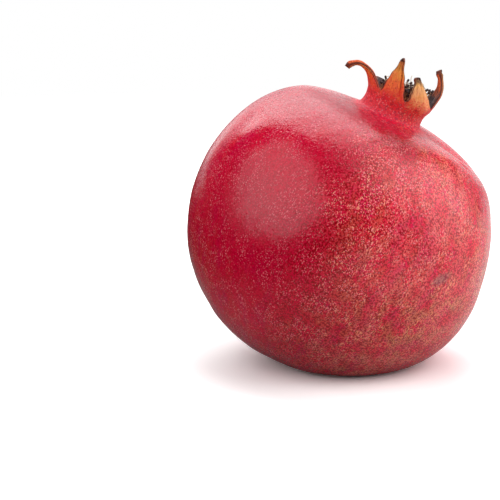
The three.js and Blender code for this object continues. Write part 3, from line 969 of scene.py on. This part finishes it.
def add_russet(look, colour, where, meridians):
    """Russet and milky streaks and tan clouds in the russet areas."""
    milky = look.cloudy(meridians, MILKY_STREAKS, 0.47, 0.6, end=0.5)
    on_right = look.span("bearing_x", -0.05, 0.4)
    return look.layers(
        colour,
        (RUSSET, "russet", look.cloudy(meridians, GOLD_STREAKS, 0.45, 0.61, end=0.85)),
        (TAN, "russet", look.cloudy(where, TAN_CLOUDS, 0.5, 0.66, end=0.6)),
        (MILKY_PINK, look.span("russet", 0.05, 0.6), milky, on_right),
    )


def add_deep_red_and_shade(look, colour, patches):
    """Deeper red in the deep areas, in part painted shade, and darkest near the crown as painted shade."""
    painted_crown_shade = look.span("angle", radians(72), radians(30), 0.2, 0.55)
    deep_red = look.blend(DEEP_RED_AND_SHADE, DARK_RED_AND_SHADE, painted_crown_shade)
    return look.blend(colour, deep_red, "deep", look.span(patches, 0.2, 0.5, 0.7))


def add_specks(look, colour, where, meridians, patches, grain):
    """A dark grain that is weaker on the left, pale flecks along the meridians and pale dots."""
    towards_right = look.span("bearing_x", -0.55, -0.1, start=0.4)
    colour = look.blend(colour, GRAIN_SHADE, look.span(grain, 0.52, 0.42), towards_right, mode="MULTIPLY")
    specks = look.math("SUBTRACT", look.noise(meridians, *SPECKS), look.product("deep", 0.05))
    flecks = look.product(look.span(specks, 0.575, 0.62), look.span("russet", 0, 0.8, 0.35, 0.95))
    off_deep = look.span("deep", 0.4, 1, 1, 0.45)
    return look.layers(
        colour,
        (look.blend(PALE_PINK, PALE_TAN, "russet"), flecks, look.span(patches, 0.38, 0.58)),
        (PALE_PINK, look.spots(where, *DOTS), look.span(patches, 0.38, 0.6, 0.2, 0.9), off_deep),
    )


def add_marks(look, colour, where, meridians):
    """Fine dark lines in the lined areas, and the scar."""
    from_line = look.math("SUBTRACT", look.noise(meridians, *FINE_LINES), 0.5)
    lines = look.span(look.math("ABSOLUTE", from_line), 0.006, 0.026, 1.0, 0.0)
    scar_colour = look.blend(SCAR_SHADE, SCAR_BROWN, look.cloudy(where, SCRATCHES, 0.46, 0.56))
    return look.layers(
        colour,
        (DARK_RED_AND_SHADE, lines, "lined", 0.5),
        (scar_colour, look.span("scar", 0.1, 0.9, end=0.72)),
    )


def lobe_outside(look, where, height):
    """Red with pale dots low down, then orange or tan, with brown strands where it has dried."""
    strands = look.cloudy(flow(look, MOUTH_RADIUS, "rise", 12), STRANDS, 0.5, 0.36, end=0.4)
    dot_colour = look.blend(PALE_PINK, PALE_TAN, "tone", 0.6)
    return look.layers(
        look.ramp(height, LOBE_ORANGES),
        (look.ramp(height, LOBE_TANS), "tone"),
        (STRAND_BROWN, strands, look.span(height, 0.55, 0.75)),
        (OCHRE, look.cloudy(where, YELLOWING, 0.52, 0.64, end=0.35), look.span(height, 0.62, 0.8)),
        (LOBE_RED, look.cloudy(where, MOTTLES, 0.44, 0.58, end=0.7), look.span(height, 0.82, 0.6)),
        (STRAND_BROWN, look.spots(where, *CROWN_FLECKS), look.span(height, 0.5, 0.62, end=0.7)),
        (DARK_RED_AND_SHADE, look.cloudy(where, DARK_MOTTLES, 0.4, 0.5, 0.5, 0.0), look.span(height, 0.66, 0.45)),
        (dot_colour, look.spots(where, *CROWN_DOTS), look.span(height, 0.72, 0.45, end=0.5)),
    )


def crown_colour(look, where, below):
    """The neck and lobes over the body's colour below them, their insides, darkened low down as painted
    shade, and their dried brown rims.
    """
    uneven = look.math("SUBTRACT", look.product(look.noise(where, *BORDERS), 0.36), 0.18)
    height = look.math("ADD", "rise", uneven)
    from_mouth = look.math("SUBTRACT", height, look.product("tone", 0.5))
    rim = look.math("ADD", "rim", uneven)
    return look.layers(
        below,
        (lobe_outside(look, where, height), look.span(height, -0.12, 0.12)),
        (look.ramp(from_mouth, LOBE_INSIDES_AND_SHADE), "inside"),
        # Dried brown rims, and the furrow beside a rolled rim painted the same dark brown as painted shade
        (RIM_BROWN_AND_FURROW_SHADE, look.span(rim, 0.25, 0.6, end=0.88)),
    )


def rind_relief(look, where, meridians):
    """Pores and leathery unevenness, fainter where the skin is deep red, and raised dots."""
    near_top = look.span("angle", radians(66), radians(54))
    worked = look.math("MAXIMUM", near_top, look.span("deep", 0.2, 0.8, 1.0, 0.35))
    pores = look.relief(look.product(look.noise(meridians, *PORES), worked), PORE_DEPTH)
    leather = look.relief(look.product(look.noise(where, *LEATHER), worked), LEATHER_DEPTH, pores)
    return look.relief(look.spots(where, *RAISED_DOTS), DOT_HEIGHT, leather)


def rind_material():
    look = Look(bpy.data.materials.new("pomegranate_rind"))
    where, meridians = look.millimetres(), flow(look, BODY_RADIUS, "angle", BODY_RADIUS)
    patches, grain = look.noise(where, *PATCHES), look.noise(where, *GRAIN)
    skin = red_skin(look, where, meridians)
    skin = add_russet(look, skin, where, meridians)
    skin = add_deep_red_and_shade(look, skin, patches)
    skin = add_specks(look, skin, where, meridians, patches, grain)
    skin = add_marks(look, skin, where, meridians)
    dull = look.math("MAXIMUM", "inside", look.span("rise", -0.2, 0.5))
    worn = look.math("ADD", dull, look.product("russet", 0.35))
    grainy = look.span(grain, 0.3, 0.7, -0.04, 0.08)
    return look.set({
        "Base Color": crown_colour(look, where, skin),
        "Roughness": look.math("ADD", look.span(worn, 0, 1, 0.15, 0.55), grainy),
        "IOR": RIND_IOR,
        "Normal": rind_relief(look, where, meridians),
    })


def stamen_material():
    look = Look(bpy.data.materials.new("dried_stamens"))
    where = look.millimetres()
    shade = look.math("ADD", "shade", look.noise(where, 1.2, 3, 0.6))
    threads = look.ramp(look.math("DIVIDE", shade, THREAD_SHADES), THREAD_COLOURS)
    heads = look.blend(HEAD_DARK, HEAD_BROWN, look.cloudy(where, (0.5, 3, 0.7), 0.42, 0.7))
    return look.set({
        "Base Color": look.blend(threads, heads, "head"),
        "Roughness": look.cloudy(where, (0.8,), 0.3, 0.7, 0.55, 0.85),
        "Normal": look.relief(look.noise(where, 0.3, 3, 0.7), THREAD_DEPTH),
    })


def stem_material():
    look = Look(bpy.data.materials.new("woody_stem"))
    where = look.millimetres()
    bark = look.blend(BARK_DARK, BARK_PALE, look.cloudy(where, (0.7, 4, 0.7), 0.35, 0.65))
    wood = look.blend(CUT_WOOD, BARK_PALE, look.cloudy(where, (0.3,), 0.4, 0.7))
    return look.set({
        "Base Color": look.blend(bark, wood, "cut"),
        "Roughness": look.cloudy(where, (0.5,), 0.3, 0.7, 0.7, 0.9),
        "Normal": look.relief(look.noise(where, 0.4, 4, 0.7), BARK_DEPTH),
    })


# ---- the stage, lights and camera

def make_floor():
    """A pale floor that looks even and turns white away from the fruit. It reflects less on the left, as
    painted shade.
    """
    mesh = bpy.data.meshes.new("floor")
    corners = [(x * FLOOR_HALF, y * FLOOR_HALF, 0) for x, y in ((-1, -1), (1, -1), (1, 1), (-1, 1))]
    mesh.from_pydata(corners, [], [(0, 1, 2, 3)])
    floor = new_object("floor", mesh)
    look = Look(bpy.data.materials.new("pale_floor"))
    seen = look.add("LightPath").outputs["Is Camera Ray"]
    where = look.add("TexCoord").outputs["Object"]
    to_right = look.add("SeparateXYZ", {"Vector": where}).outputs["X"]
    bounce = look.span(to_right, *BOUNCE_TURN, *FLOOR_BOUNCE)
    away = look.add("VectorMath", {0: where}, operation="LENGTH").outputs["Value"]
    matt = look.add("BsdfDiffuse", {"Color": look.span(seen, 0, 1, bounce, FLOOR_SEEN)})
    glow = look.product(seen, look.span(away, *FLOOR_FADE))
    mesh.materials.append(look.mix(glow, matt, look.add("Emission")))


def aim(thing, back, roll=0):
    """Turns a light or camera so that its back faces this way."""
    thing.rotation_mode = "QUATERNION"
    thing.rotation_quaternion = back.to_track_quat("Z", "Y") @ Quaternion((0, 0, 1), radians(roll))


def make_softbox(
    name, azimuth, elevation, distance, size, radiance,
    roll=0, level=False, shape="RECTANGLE", spread=180, reflected=True,
):
    """A flat light with this radiance at any size. It faces the fruit, or straight down if level."""
    light = bpy.data.lights.new(name, "AREA")
    light.shape = shape
    light.size, light.size_y = size
    half_spread = radians(spread) / 2
    light.spread = 2 * half_spread
    gathered = 1 - half_spread / tan(half_spread)
    filled = pi if shape == "RECTANGLE" else pi**2 / 4
    light.energy = radiance * size[0] * size[1] * filled * gathered
    softbox = new_object(name, light)
    aside, rise = radians(azimuth), radians(elevation)
    away = Vector((sin(aside) * cos(rise), -cos(aside) * cos(rise), sin(rise)))
    softbox.location = LIT_POINT + away * distance
    aim(softbox, Vector((0, 0, 1)) if level else away, roll)
    softbox.visible_camera, softbox.visible_glossy = False, reflected


def make_surroundings():
    """White to the eye, but as a light a bright backdrop in a dim studio."""
    studio = Look(bpy.data.worlds.new("studio"))
    direction = studio.add("TexCoord").outputs["Generated"]
    towards_back = studio.add("SeparateXYZ", {"Vector": direction}).outputs["Y"]
    brightness = studio.span(towards_back, *BACKDROP_EDGE, STUDIO_DIM, BACKDROP_BRIGHT)
    lit = studio.add("Background", {"Color": (1, 1, 1, 1), "Strength": brightness})
    white = studio.add("Background", {"Color": (1, 1, 1, 1)})
    seen = studio.add("LightPath").outputs["Is Camera Ray"]
    bpy.context.scene.world = studio.mix(seen, lit, white)


def make_camera():
    camera = new_object("camera", bpy.data.cameras.new("camera"))
    rise = radians(CAMERA_ELEVATION)
    back = Vector((0, -cos(rise), sin(rise)))
    camera.data.angle = radians(CAMERA_VIEW)
    camera.data.clip_start, camera.data.clip_end = CAMERA_CLIP
    camera.location = CAMERA_TARGET + back * CAMERA_DISTANCE
    aim(camera, back)
    bpy.context.scene.camera = camera


# ---- everything in its place

def dress(piece, node, material):
    piece.data.materials.append(material)
    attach(piece, "root")
    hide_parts(node)


make_camera()
dress(make_fruit_skin(), "fruit", rind_material())
dress(make_stamen_tuft(), "stamens", stamen_material())
dress(make_clipped_stem(), "stem_stub", stem_material())
make_floor()
make_surroundings()
for name, (place_and_size, options) in SOFTBOXES.items():
    make_softbox(name, *place_and_size, **options)
bpy.context.scene.view_settings.view_transform = "Standard"
